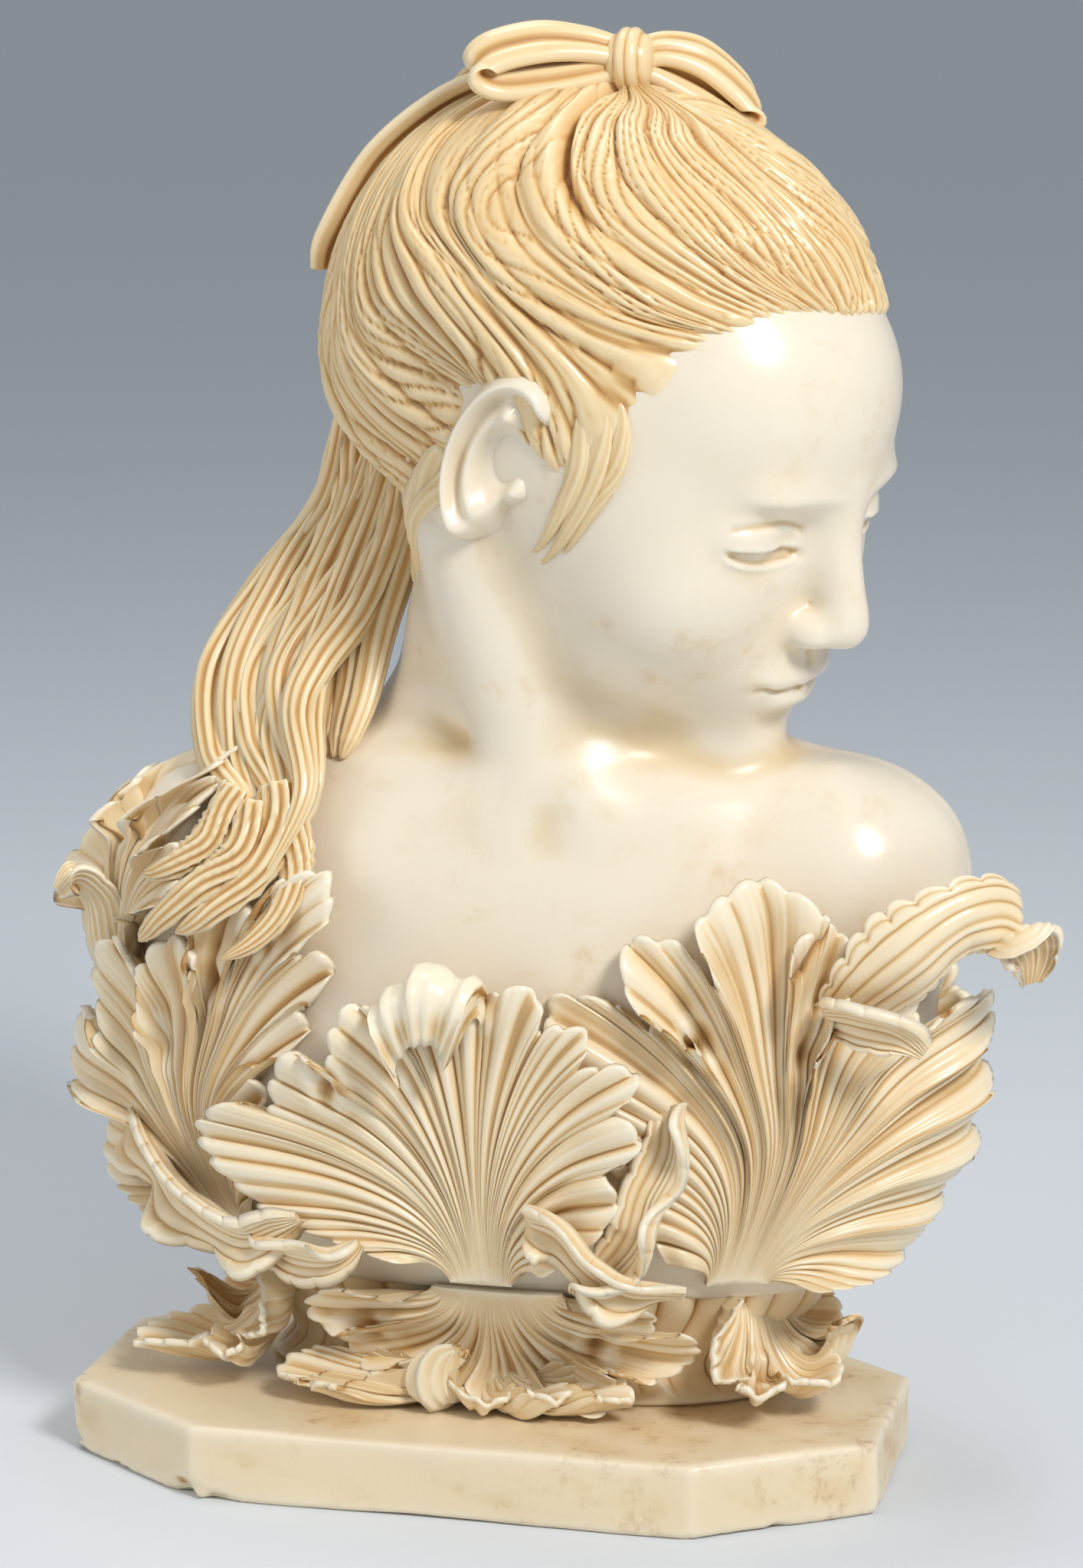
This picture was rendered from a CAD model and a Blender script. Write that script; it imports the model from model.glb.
# marble bust of a girl with a ribbon bow, rising out of acanthus leaves on an octagonal plinth
import bpy
import numpy as np
import openvdb
from math import radians, sin, cos, pi
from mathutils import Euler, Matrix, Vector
from mathutils.bvhtree import BVHTree


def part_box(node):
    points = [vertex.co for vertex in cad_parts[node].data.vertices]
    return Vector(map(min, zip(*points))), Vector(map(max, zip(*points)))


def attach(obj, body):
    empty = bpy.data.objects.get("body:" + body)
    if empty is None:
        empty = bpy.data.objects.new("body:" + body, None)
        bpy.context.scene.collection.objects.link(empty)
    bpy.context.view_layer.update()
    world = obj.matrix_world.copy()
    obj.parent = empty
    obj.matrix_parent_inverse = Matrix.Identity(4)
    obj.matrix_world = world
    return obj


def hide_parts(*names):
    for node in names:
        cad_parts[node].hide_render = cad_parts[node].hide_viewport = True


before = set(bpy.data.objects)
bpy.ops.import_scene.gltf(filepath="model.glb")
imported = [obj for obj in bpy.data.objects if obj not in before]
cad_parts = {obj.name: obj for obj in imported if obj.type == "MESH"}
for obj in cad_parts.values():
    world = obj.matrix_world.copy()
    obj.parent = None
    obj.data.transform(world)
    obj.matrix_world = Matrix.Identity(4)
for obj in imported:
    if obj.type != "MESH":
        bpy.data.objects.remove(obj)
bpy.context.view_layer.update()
plinthLow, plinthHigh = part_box("plinth")
origin = np.array([(plinthLow[0] + plinthHigh[0]) / 2, (plinthLow[1] + plinthHigh[1]) / 2, 0.0])
# numbers below are millimetres from the middle of the plinth's underside, x right, y back, z up
mm = 0.001


def smooth(x, low, high):
    t = np.clip((x - low) / (high - low), 0, 1)
    return t * t * (3 - 2 * t)


def mix(a, b, t):
    return a + (b - a) * t


def bump(x, centre, width):
    return np.exp(-((x - centre) / width) ** 2)


def unit(v):
    return v / np.maximum(np.linalg.norm(v, axis=-1, keepdims=True), 1e-9)


def curve(f, start, end, startSlope, endSlope):  # f runs from 0 at the start to 1 at the end
    return ((2 * f ** 3 - 3 * f ** 2 + 1) * start + (f ** 3 - 2 * f ** 2 + f) * startSlope
            + (3 * f ** 2 - 2 * f ** 3) * end + (f ** 3 - f ** 2) * endSlope)


# a smooth curve through the stations, t from 0 to 1; each station is one point with its sizes
def along(stations, t):
    p = np.asarray(stations, float)
    last = len(p) - 1
    s = np.clip(np.asarray(t, float), 0, 1) * last
    i = np.minimum(s.astype(int), last - 1)
    f = (s - i)[..., None]
    p0, p1, p2, p3 = p[np.maximum(i - 1, 0)], p[i], p[i + 1], p[np.minimum(i + 2, last)]
    return curve(f, p1, p2, (p2 - p0) / 2, (p3 - p1) / 2)


# soft random waves, the same each run
def waves(x, y, seed, octaves=3):
    source = np.random.default_rng(seed)
    total = np.zeros(np.broadcast(x, y).shape)
    for k in range(octaves):
        for _ in range(4):
            a = source.uniform(0.6, 1.4) * 2 ** k
            turn, phase = source.uniform(0, 2 * pi), source.uniform(0, 2 * pi)
            total += np.sin(a * (x * cos(turn) + y * sin(turn)) + phase) / (2 * 2 ** k)
    return total


def gridFaces(rows, columns):  # the sides of a tube
    r, c = np.meshgrid(np.arange(rows - 1), np.arange(columns), indexing="ij")
    d = (c + 1) % columns
    corners = [r * columns + c, r * columns + d, (r + 1) * columns + d, (r + 1) * columns + c]
    return np.stack(corners, -1).reshape(-1, 4).tolist()


def tubeFaces(rows, columns):  # a tube with a flat cap on each end
    caps = [list(range(columns))[::-1], [(rows - 1) * columns + k for k in range(columns)]]
    return gridFaces(rows, columns) + caps


def makePiece(name, points, faces):
    mesh = bpy.data.meshes.new(name)
    mesh.from_pydata((origin + np.asarray(points) * mm).tolist(), [], faces)
    mesh.validate()
    piece = bpy.data.objects.new(name, mesh)
    bpy.context.scene.collection.objects.link(piece)
    return piece


def outward(piece):  # turns a closed mesh so that its faces point out
    points = readPoints(piece)
    mesh = piece.data
    mesh.calc_loop_triangles()
    flat = np.empty(len(mesh.loop_triangles) * 3, dtype=np.int64)
    mesh.loop_triangles.foreach_get("vertices", flat)
    a, b, c = (points[flat.reshape(-1, 3)[:, k]] for k in range(3))
    if (np.cross(a, b) * c).sum() < 0:
        mesh.flip_normals()
    return piece


def only(piece):
    bpy.ops.object.select_all(action="DESELECT")
    piece.select_set(True)
    bpy.context.view_layer.objects.active = piece


def readPoints(piece):
    flat = np.empty(len(piece.data.vertices) * 3)
    piece.data.vertices.foreach_get("co", flat)
    return (flat.reshape(-1, 3) - origin) / mm


def writePoints(piece, points):
    piece.data.vertices.foreach_set("co", (origin + points * mm).ravel())
    piece.data.update()


def readNormals(piece):
    flat = np.empty(len(piece.data.vertices) * 3)
    piece.data.vertex_normals.foreach_get("vector", flat)
    return flat.reshape(-1, 3)


def readEdges(piece):
    flat = np.empty(len(piece.data.edges) * 2, dtype=np.int64)
    piece.data.edges.foreach_get("vertices", flat)
    return flat.reshape(-1, 2)


def relaxed(points, edges, passes):
    count = np.bincount(edges.ravel(), minlength=len(points))[:, None]
    a, b = edges.T
    for _ in range(passes):
        sums = [np.bincount(a, points[b, k], len(points)) + np.bincount(b, points[a, k], len(points))
                for k in range(3)]
        total = np.stack(sums, 1)
        points = mix(points, total / np.maximum(count, 1), 0.6)
    return points


# how hollow the surface is at each point: grooves near 1, flats 0.5, crests near 0
def markGrooves(piece, gain, fine, broad):
    points, edges, normals = readPoints(piece), readEdges(piece), readNormals(piece)
    near = relaxed(points, edges, fine)
    far = relaxed(near, edges, broad)
    hollow = ((near - points) * normals).sum(1) * 2.2 + ((far - points) * normals).sum(1) * 0.9
    value = np.clip(0.5 + 0.5 * np.tanh(hollow * gain), 0, 1)
    mark = piece.data.attributes.new("groove", "FLOAT", "POINT")
    mark.data.foreach_set("value", value.astype(np.float32))


def finishPiece(piece, material, nodes, gain=1.0, fine=3, broad=14):
    markGrooves(piece, gain, fine, broad)
    only(piece)
    bpy.ops.object.shade_smooth()
    piece.data.materials.clear()
    piece.data.materials.append(material)
    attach(piece, "root")
    if nodes:
        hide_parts(*nodes)


def linear(hexColour):
    channels = [int(hexColour[i:i + 2], 16) / 255 for i in (1, 3, 5)]
    return [c / 12.92 if c <= 0.04045 else ((c + 0.055) / 1.055) ** 2.4 for c in channels] + [1.0]


def addNode(tree, kind, settings=None, links=None):
    node = tree.nodes.new(kind)
    for key, value in (settings or {}).items():
        if isinstance(key, str) and hasattr(node, key):
            setattr(node, key, value)
        else:
            node.inputs[key].default_value = value
    for key, source in (links or {}).items():
        tree.links.new(source, node.inputs[key])
    return node


def addNoise(tree, place, size, detail, roughness=0.5):  # size in millimetres
    settings = {"Scale": 1000 / size, "Detail": detail, "Roughness": roughness}
    return addNode(tree, "ShaderNodeTexNoise", settings, {"Vector": place}).outputs["Fac"]


def twoTones(tree, value, dark, pale):
    ramp = addNode(tree, "ShaderNodeValToRGB", {}, {"Fac": value})
    for stop, colour in zip(ramp.color_ramp.elements, (dark, pale)):
        stop.color = linear(colour)
    return ramp.outputs["Color"]


def startMaterial(name):
    material = bpy.data.materials.new(name)
    material.use_nodes = True
    tree = material.node_tree
    tree.nodes.clear()
    return material, tree, addNode(tree, "ShaderNodeTexCoord").outputs["Object"]


def closeMaterial(tree, height, strength, distance, settings, links):
    relief = addNode(tree, "ShaderNodeBump", {"Strength": strength, "Distance": distance},
                     {"Height": height}).outputs["Normal"]
    surface = addNode(tree, "ShaderNodeBsdfPrincipled", settings, {**links, "Normal": relief})
    addNode(tree, "ShaderNodeOutputMaterial", {}, {"Surface": surface.outputs["BSDF"]})


# hand-carved, polished marble: waxy and slightly translucent, with an antique honey patina that was
# rubbed off the crests and stays in the grooves
def makeMarble(name, s):
    material, tree, place = startMaterial(name)
    groove = addNode(tree, "ShaderNodeAttribute", {"attribute_name": "groove"}).outputs["Fac"]
    blotch = addNoise(tree, place, s["blotchMm"], 5.0, 0.6)
    speck = addNoise(tree, place, s["speckMm"], 6.0, 0.7)
    centred = {"operation": "MULTIPLY_ADD", 1: s["blotchShare"], 2: -0.5 * s["blotchShare"]}
    shifted = addNode(tree, "ShaderNodeMath", centred, {0: blotch}).outputs[0]
    uneven = addNode(tree, "ShaderNodeMath", {"operation": "ADD"}, {0: groove, 1: shifted}).outputs[0]
    ramp = addNode(tree, "ShaderNodeValToRGB", {}, {"Fac": uneven})
    stops = ramp.color_ramp.elements
    while len(stops) < len(s["tones"]):
        stops.new(0.5)
    for stop, (at, colour) in zip(stops, s["tones"]):
        stop.position, stop.color = at, linear(colour)
    spots = {"From Min": s["stainFrom"], "From Max": s["stainFrom"] + 0.16, "To Max": s["stain"]}
    stain = addNode(tree, "ShaderNodeMapRange", spots, {"Value": speck}).outputs["Result"]
    mask = addNode(tree, "ShaderNodeMapRange", {"From Min": 0.5, "From Max": 0.66},
                   {"Value": blotch}).outputs["Result"]
    stainHere = addNode(tree, "ShaderNodeMath", {"operation": "MULTIPLY"},
                        {0: stain, 1: mask}).outputs[0]
    colour = addNode(tree, "ShaderNodeMix", {"data_type": "RGBA", 7: linear(s["stainColour"])},
                     {0: stainHere, 6: ramp.outputs["Color"]}).outputs[2]
    wax = {"From Min": 0.35, "From Max": 0.85, "To Min": s["polish"], "To Max": s["polish"] + 0.22}
    rough = addNode(tree, "ShaderNodeMapRange", wax, {"Value": uneven}).outputs["Result"]
    grain = addNoise(tree, place, s["grainMm"], 3.0)
    stone = {"IOR": 1.5, "Subsurface Weight": s["glow"], "Subsurface Radius": (1.0, 0.7, 0.45),
             "Subsurface Scale": 0.004}
    closeMaterial(tree, grain, s["relief"], 0.0004, stone, {"Base Color": colour, "Roughness": rough})
    return material


skinMarble = makeMarble("polishedMarbleSkin", {
    "tones": [(0.0, "#F2E8D6"), (0.5, "#EDE0C9"), (0.68, "#E2CCA6"), (0.95, "#CDA56D")],
    "blotchMm": 34, "blotchShare": 0.3, "speckMm": 12, "stainFrom": 0.5, "stain": 0.55,
    "stainColour": "#D9B884", "polish": 0.2, "grainMm": 1.2, "relief": 0.05, "glow": 0.12})
carvedMarble = makeMarble("honeyMarbleCarved", {
    "tones": [(0.08, "#F3DDB4"), (0.42, "#E8CA96"), (0.62, "#D3A869"), (0.92, "#A6713A")],
    "blotchMm": 30, "blotchShare": 0.2, "speckMm": 7, "stainFrom": 0.58, "stain": 0.35,
    "stainColour": "#C9995A", "polish": 0.27, "grainMm": 1.2, "relief": 0.08, "glow": 0.1})
leafMarble = makeMarble("creamMarbleLeaves", {
    "tones": [(0.08, "#F7EAD0"), (0.42, "#F0DCB7"), (0.62, "#DFBE88"), (0.92, "#B08043")],
    "blotchMm": 34, "blotchShare": 0.18, "speckMm": 8, "stainFrom": 0.58, "stain": 0.35,
    "stainColour": "#CFA163", "polish": 0.25, "grainMm": 1.2, "relief": 0.07, "glow": 0.1})
plinthMarble = makeMarble("wornMarblePlinth", {
    "tones": [(0.1, "#F3E3C6"), (0.5, "#EDD9B5"), (0.62, "#DDBD8A"), (0.85, "#A9793F")],
    "blotchMm": 40, "blotchShare": 0.4, "speckMm": 7, "stainFrom": 0.5, "stain": 0.75,
    "stainColour": "#B58A55", "polish": 0.3, "grainMm": 1.5, "relief": 0.18, "glow": 0.08})

headPose = {"place": (36, 21, 343), "yaw": 70, "pitch": 22, "roll": -4}
turn = np.array(Euler((radians(headPose["pitch"]), 0, 0)).to_matrix())
turn = np.array(Euler((0, 0, radians(headPose["yaw"]))).to_matrix()) @ turn
turn = turn @ np.array(Euler((0, radians(headPose["roll"]), 0)).to_matrix())
headPlace = np.array(headPose["place"], float)


def fromHead(p):
    return np.asarray(p, float) @ turn.T + headPlace


def toHead(p):
    return (np.asarray(p, float) - headPlace) @ turn


# height, middle x, middle y, half width, half depth of the torso and the neck
torsoStations = np.array([
    (66, 8, 16, 110, 46), (90, 7, 17, 125, 53), (120, 7, 19, 138, 60), (150, 8, 21, 138, 64),
    (180, 9, 23, 139, 64), (205, 11, 25, 134, 60), (222, 13, 27, 121, 55), (236, 15, 28, 96, 50),
    (248, 17, 28, 70, 46), (262, 17, 26, 57, 45), (285, 18, 22, 51, 45), (318, 22, 20, 48, 44),
    (345, 24, 20, 44, 42)], float)
backFlatness = 0.8


def torsoAt(z):
    z = np.clip(z, torsoStations[0, 0], torsoStations[-1, 0])
    slopes = np.gradient(torsoStations[:, 1:], torsoStations[:, 0], axis=0)
    i = np.clip(np.searchsorted(torsoStations[:, 0], z, side="right") - 1, 0, len(torsoStations) - 2)
    low, high = torsoStations[i, 0], torsoStations[i + 1, 0]
    h = (high - low)[..., None]
    f = ((z - low) / (high - low))[..., None]
    return curve(f, torsoStations[i, 1:], torsoStations[i + 1, 1:], slopes[i] * h, slopes[i + 1] * h)


def ball(p, centre, half):
    q = (p - np.array(centre, np.float32)) / np.array(half, np.float32)
    k0 = np.sqrt((q * q).sum(-1))
    q = q / np.array(half, np.float32)
    return k0 * (k0 - 1) / np.maximum(np.sqrt((q * q).sum(-1)), 1e-6)


def rodShape(p, a, b, ra, rb):
    a, b = np.array(a, np.float32), np.array(b, np.float32)
    t = np.clip(((p - a) @ (b - a)) / ((b - a) @ (b - a)), 0, 1)
    return np.sqrt(((p - a - t[..., None] * (b - a)) ** 2).sum(-1)) - mix(ra, rb, t)


def join(a, b, k):
    h = np.clip(0.5 + 0.5 * (b - a) / k, 0, 1)
    return mix(b, a, h) - k * h * (1 - h)


def carve(a, b, k):
    return -join(-a, b, k)


# added shapes: centre, half sizes, blend; one that is off the middle is on both sides
faceParts = {
    "upperFace": ((0, -34, -4), (60, 52, 58), 12), "jaw": ((0, -38, -34), (51, 48, 44), 16),
    "chin": ((0, -76, -68), (18, 15, 12), 16), "cheek": ((32, -58, -20), (23, 22, 24), 16),
    "forehead": ((0, -50, 44), (46, 34, 32), 18), "brow": ((19, -81, 23), (16, 5, 4), 12),
    "muzzle": ((0, -74, -42), (26, 19, 20), 14), "upperLip": ((0, -90, -40), (17, 6, 4.5), 4),
    "lipWing": ((9, -86, -41), (13, 7, 3.6), 4), "lowerLip": ((0, -88, -49), (15, 7.5, 5), 4)}


def fleshField(step, low, high):
    axes = [np.arange(a, b, step, dtype=np.float32) for a, b in zip(low, high)]
    p = np.stack(np.meshgrid(*axes, indexing="ij"), -1)
    size = torsoAt(axes[2].astype(float)).astype(np.float32)
    dx = p[..., 0] - size[:, 0]
    dy = p[..., 1] - size[:, 1]
    depth = size[:, 3] * np.where(dy > 0, backFlatness, 1.0)
    k = np.sqrt((dx / size[:, 2]) ** 2 + (dy / depth) ** 2)
    body = (k - 1) * np.minimum(size[:, 2], depth)
    body = np.maximum(body, p[..., 2] - 338)
    for side in (-1, 1):  # collar bones, the hollows above them and the shoulder balls
        body = join(body, rodShape(p, (26 + 12 * side, -17, 220), (26 + 86 * side, 6, 232), 4.5, 4), 16)
        body = carve(body, ball(p, (26 + 46 * side, -16, 247), (18, 5, 3)), 14)
        body = join(body, ball(p, (12 + 108 * side, 22, 205), (28, 34, 30)), 24)
    body = carve(body, ball(p, (26, -31, 228), (6, 7, 7)), 14)  # hollow between the collar bones
    top = axes[2] > 206
    q = ((p[:, :, top] - headPlace.astype(np.float32)) @ turn.astype(np.float32))
    head = ball(q, (0, -3, 20), (68, 86, 84))
    for (x, y, z), half, blend in faceParts.values():
        for side in ((-1, 1) if x else (1,)):
            head = join(head, ball(q, (side * x, y, z), half), blend)
    for side in (-1, 1):
        head = carve(head, ball(q, (side * 31, -94, 9), (15, 13, 8)), 12)  # eye sockets
    # the nose: bridge, tip, wings and nostrils; then the eyelids
    head = join(head, rodShape(q, (0, -82, 24), (0, -100, -14), 6, 8), 10)
    head = join(head, ball(q, (0, -101, -19), (8.5, 8, 7)), 5)
    for side in (-1, 1):
        head = join(head, ball(q, (side * 9.5, -94, -22), (6, 8, 5.5)), 5)
        head = carve(head, ball(q, (side * 5.5, -99, -28), (3, 4.5, 3)), 2)
        lids = ball(q, (side * 30, -69.5, 7), (15.5, 14, 12))
        head = join(head, lids, 3)
    head = carve(head, ball(q, (0, -97, -44.6), (15, 7, 0.9)), 2.5)  # between the lips
    head = carve(head, ball(q, (0, -99, -58), (14, 8, 3)), 8)  # fold above the chin
    neck = body[:, :, top].copy()
    for side in (-1, 1):  # the neck muscles from behind each ear to the collar notch
        start = fromHead((side * 50, 14, -30))
        neck = join(neck, rodShape(p[:, :, top], start, (26 + 7 * side, -12, 228), 15, 7), 22)
    body[:, :, top] = join(neck, head, 11)
    normal = np.array([0, cos(radians(41)), sin(radians(41))], np.float32)
    behind = (q - np.array([0, -18, 4], np.float32)) @ normal - 62  # what the hair hides is left out
    skull = np.where(p[:, :, top, 2] > 330, behind, -50)
    body[:, :, top] = np.maximum(body[:, :, top], skull)
    return body


fleshGrid = {"step": 2.0, "low": (-152, -62, 62), "high": (166, 104, 462)}


def makeFlesh():
    step, low, high = fleshGrid.values()
    body = fleshField(step, low, high)
    farthest = 4.0
    body[:, :, 0] = farthest + 1  # closed underneath
    grid = openvdb.FloatGrid(farthest)
    grid.copyFromArray(np.clip(body, -farthest, farthest).astype(np.float32))
    points, quads = grid.convertToQuads(0.0)
    points = points * step + np.array(low)
    flesh = makePiece("flesh", points, quads.tolist())
    writePoints(flesh, relaxed(readPoints(flesh), readEdges(flesh), 3))
    only(flesh)
    bpy.ops.object.mode_set(mode="EDIT")
    bpy.ops.mesh.select_mode(type="FACE")
    bpy.ops.mesh.select_all(action="DESELECT")
    bpy.ops.object.mode_set(mode="OBJECT")
    middles = np.empty(len(flesh.data.polygons) * 3)
    flesh.data.polygons.foreach_get("center", middles)
    q = toHead((middles.reshape(-1, 3) - origin) / mm)
    isFace = (q[:, 1] < -62) & (q[:, 2] < 32) & (q[:, 2] > -62) & (np.abs(q[:, 0]) < 50)
    flesh.data.polygons.foreach_set("select", isFace)
    bpy.ops.object.mode_set(mode="EDIT")
    bpy.ops.mesh.subdivide(number_cuts=1, smoothness=0)
    bpy.ops.object.mode_set(mode="OBJECT")
    points = relaxed(readPoints(flesh), readEdges(flesh), 2)
    q = toHead(points)
    normals = readNormals(flesh)
    writePoints(flesh, points + normals * faceDetail(q)[:, None])
    return flesh


# the chisel's fine lines: eyelids half lowered, the parting of the lips, the groove above them
def faceDetail(q):
    x, z = np.abs(q[:, 0]), q[:, 2]
    front = smooth(-q[:, 1], 66, 74)
    t = (x - 30) / 14.5
    inEye = 1 - smooth(np.abs(t), 0.82, 1.05)
    arch = np.sqrt(np.clip(1 - t * t, 0, 1))
    lidLine = 4.6 + 1.5 * arch  # edge of the upper lid
    lowLine = 4.4 - 4.2 * arch
    between = smooth(z, lowLine - 0.6, lowLine + 0.6) * (1 - smooth(z, lidLine - 0.7, lidLine + 0.5))
    crease = bump(z, 9.5 + 5.2 * arch, 1.3)
    rimUp = bump(z, lidLine + 0.9, 1.1)
    rimLow = bump(z, lowLine - 0.9, 1.0)
    eye = inEye * (-1.5 * between + 0.55 * rimUp + 0.45 * rimLow - 1.0 * crease)
    tear = -1.0 * bump(x, 16.2, 1.8) * bump(z, 3.6, 1.8)
    mouthLine = -44.6 + 1.1 * bump(x, 5, 4) - 0.5 * bump(x, 0, 2.4) + 0.8 * smooth(x, 12, 18)
    lips = -1.3 * bump(z, mouthLine, 0.9) * (1 - smooth(x, 16, 19))
    lips -= 1.2 * bump(x, 19, 2.2) * bump(z, -44, 2.2)
    philtrum = -0.9 * bump(x, 0, 2.4) * smooth(z, -38, -35) * (1 - smooth(z, -31, -28))
    brow = 0.5 * bump(z, 25 - 0.006 * (x - 22) ** 2, 2.6) * (1 - smooth(np.abs(x - 24), 14, 20))
    return front * (eye + tear + lips + philtrum + brow)


flesh = makeFlesh()
print("flesh", len(flesh.data.polygons), "faces")
finishPiece(flesh, skinMarble, ["head", "torso"], gain=0.4, fine=4, broad=20)

hairMass = {"centre": (0, 8, 21), "half": (78, 103, 94)}
# each guide is one strand, in degrees round the head (0 is the face, 90 the right ear) and up it
knotAt = (180, 75)
hairGuides = [
    [(20, 84), (-25, 72), (-38, 60), (-38, 50), (-34, 40), (-31, 32)],
    [(80, 82), (40, 72), (20, 62), (9, 52), (3, 44), (0, 38)],
    [(128, 76), (105, 66), (84, 56), (64, 49), (42, 44), (20, 39)],
    [(150, 70), (122, 60), (102, 48), (84, 40), (60, 36), (38, 34)],
    [(160, 64), (134, 50), (115, 36), (97, 28), (74, 25), (49, 27)],
    [(166, 58), (144, 40), (124, 27), (102, 21), (80, 10), (67, -9)],
    [(170, 54), (152, 34), (137, 18), (122, 9), (107, 4), (92, 2)],
    [(172, 50), (158, 26), (144, 8), (130, -6), (113, -14), (95, -17)],
    [(174, 48), (164, 22), (151, 0), (140, -18), (126, -32), (106, -38)],
    [(178, 46), (178, 20), (176, -4), (172, -24), (162, -40), (148, -50)],
    [(183, 46), (190, 20), (196, -4), (202, -24), (210, -40), (222, -48)],
    [(188, 50), (202, 26), (216, 8), (230, -6), (247, -14), (265, -17)],
    [(190, 54), (208, 34), (223, 18), (238, 9), (253, 4), (268, 2)],
    [(194, 58), (216, 40), (236, 27), (258, 21), (280, 10), (293, -9)],
    [(200, 64), (226, 50), (245, 36), (263, 28), (286, 25), (311, 27)]]
hairStyle = {"columns": 640, "rows": 132, "radius": 90, "lockWidth": 15, "lockDepth": 5.5,
             "strandDepth": 1.3, "fineDepth": 0.35, "parting": (2.6, 9), "hairlineTuck": 3}


def headDirection(around, up):
    a, u = np.radians(around), np.radians(up)
    return np.stack([-np.cos(u) * np.sin(a), -np.cos(u) * np.cos(a), np.sin(u)], -1)


# widths that vary a little, from 0 to the total; gives each column's lock and its place across it
def lockPlaces(x, total, width, seed):
    source = np.random.default_rng(seed)
    count = int(round(total / width))
    sizes = source.uniform(0.65, 1.35, count)
    edges = np.concatenate([[0], np.cumsum(sizes)]) * total / sizes.sum()
    x = np.mod(x, total)
    i = np.clip(np.searchsorted(edges, x, side="right") - 1, 0, count - 1)
    return i, (x - edges[i]) / (edges[i + 1] - edges[i])


def rounded(t, lean=0.0):
    arch = np.sqrt(np.maximum(1 - (2 * t - 1) ** 2, 0))
    return arch * (1 - abs(lean)) + lean * t


def strandRelief(across, total, down, s, seed):
    shift = 5 * waves(across * 0.04, down * 4, seed)
    i, t = lockPlaces(across + shift, total, s["lockWidth"], seed + 1)
    _, u = lockPlaces(across - shift * 0.6, total, s["lockWidth"] * 0.62, seed + 2)
    rise = 0.75 + 0.25 * np.sin(i * 2.4)
    coarse = rounded(t, 0.3) * rise
    second = rounded(u, -0.2)
    body = s["lockDepth"] * mix(coarse, 0.55 * coarse + 0.45 * second, smooth(down, 0.25, 0.8))
    _, v = lockPlaces(across + 2 * shift, total, s["lockWidth"] / 3.6, seed + 3)
    _, w = lockPlaces(across - 2 * shift, total, s["lockWidth"] / 9, seed + 4)
    return body + s["strandDepth"] * rounded(v) + s["fineDepth"] * rounded(w)


def makeHair(fleshTree):
    s = hairStyle
    centre, half = np.array(hairMass["centre"], float), np.array(hairMass["half"], float)
    knot = headDirection(*knotAt)
    guides = np.array([[knot] + [headDirection(*g) for g in guide] for guide in hairGuides])
    count = len(guides)
    steps = np.linalg.norm((guides - np.roll(guides, -1, 0))[:, 3:6], axis=-1).mean(1)
    reach = np.concatenate([[0], np.cumsum(steps)])
    total = reach[-1] * s["radius"]
    column = np.linspace(0, reach[-1], s["columns"], endpoint=False)
    g = np.searchsorted(reach, column, side="right") - 1
    f = ((column - reach[g]) / steps[g])[:, None, None]
    q = [guides[(g + k) % count] for k in (-1, 0, 1, 2)]
    strands = curve(f, q[1], q[2], (q[2] - q[0]) / 2, (q[3] - q[1]) / 2)
    down = np.linspace(0.012, 1, s["rows"])
    direction = unit(np.stack([along(np.swapaxes(strands, 0, 1), np.full(1, t))[0] for t in down]))
    across, depth = np.meshgrid(column * s["radius"], down, indexing="xy")
    normal = unit(direction / half)
    relief = strandRelief(across, total, depth, s, 11) * mix(0.35, 1, smooth(depth, 0.0, 0.22))
    relief *= mix(1, 0.75, smooth(depth, 0.8, 1))
    at, deep = s["parting"]
    number = g + (column - reach[g]) / steps[g]
    shown = smooth(depth, 0.02, 0.12) * (1 - smooth(depth, 0.4, 0.8))
    relief -= deep * bump(number[None], at + 0.25 * depth, 0.13) * shown
    relief += 4 * bump(depth, 0, 0.08)
    height = relief - s["lockDepth"] * 0.6
    skin = centre + direction * half + normal * height[..., None]
    first = int(0.62 * s["rows"])
    found = skin.copy()
    inward = -(normal @ turn.T)
    world = fromHead(skin)
    for r in range(first, s["rows"]):  # the hair thins out towards its edge and sinks into the skin
        for c in range(0, s["columns"], 2):
            hit = fleshTree.ray_cast(Vector(world[r, c] - inward[r, c] * 14), Vector(inward[r, c]), 40)
            found[r, c] = toHead(np.array(hit[0])) if hit[0] else skin[r, c] - 9 * normal[r, c]
        found[r, 1::2] = (found[r, ::2] + np.roll(found[r, ::2], -1, 0)) / 2
    drop = np.clip(((found - skin) * normal).sum(-1), -13, 0)
    for _ in range(12):
        drop[first + 1:-1] = (drop[first:-2] + drop[first + 1:-1] * 2 + drop[first + 2:]) / 4
        drop = (drop + np.roll(drop, 1, 1) + np.roll(drop, -1, 1)) / 3
    found = skin + normal * drop[..., None]
    low = 0.7 * relief * (1 - 0.45 * smooth(depth, 0.85, 1)) - 0.3
    low -= s["hairlineTuck"] * smooth(depth, 0.93, 1)
    thin = found + normal * low[..., None]
    skin = mix(skin, thin, smooth(depth, 0.66, 0.93)[..., None])
    points = fromHead(skin.reshape(-1, 3))
    faces = gridFaces(s["rows"], s["columns"])
    top, inside = len(points), len(points) + 1
    points = np.concatenate([points, [points[:s["columns"]].mean(0)], [fromHead((0, -8, 10))]])
    last = (s["rows"] - 1) * s["columns"]
    for c in range(s["columns"]):
        d = (c + 1) % s["columns"]
        faces += [(c, top, d), (last + d, inside, last + c)]
    return outward(makePiece("hair", points, faces))


def frameAlong(line, side):
    side = np.asarray(side, float)
    tangent = unit(np.gradient(line[:, :3], axis=0))
    across = unit(side - tangent * (tangent @ side)[:, None])
    return across, np.cross(tangent, across)


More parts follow.
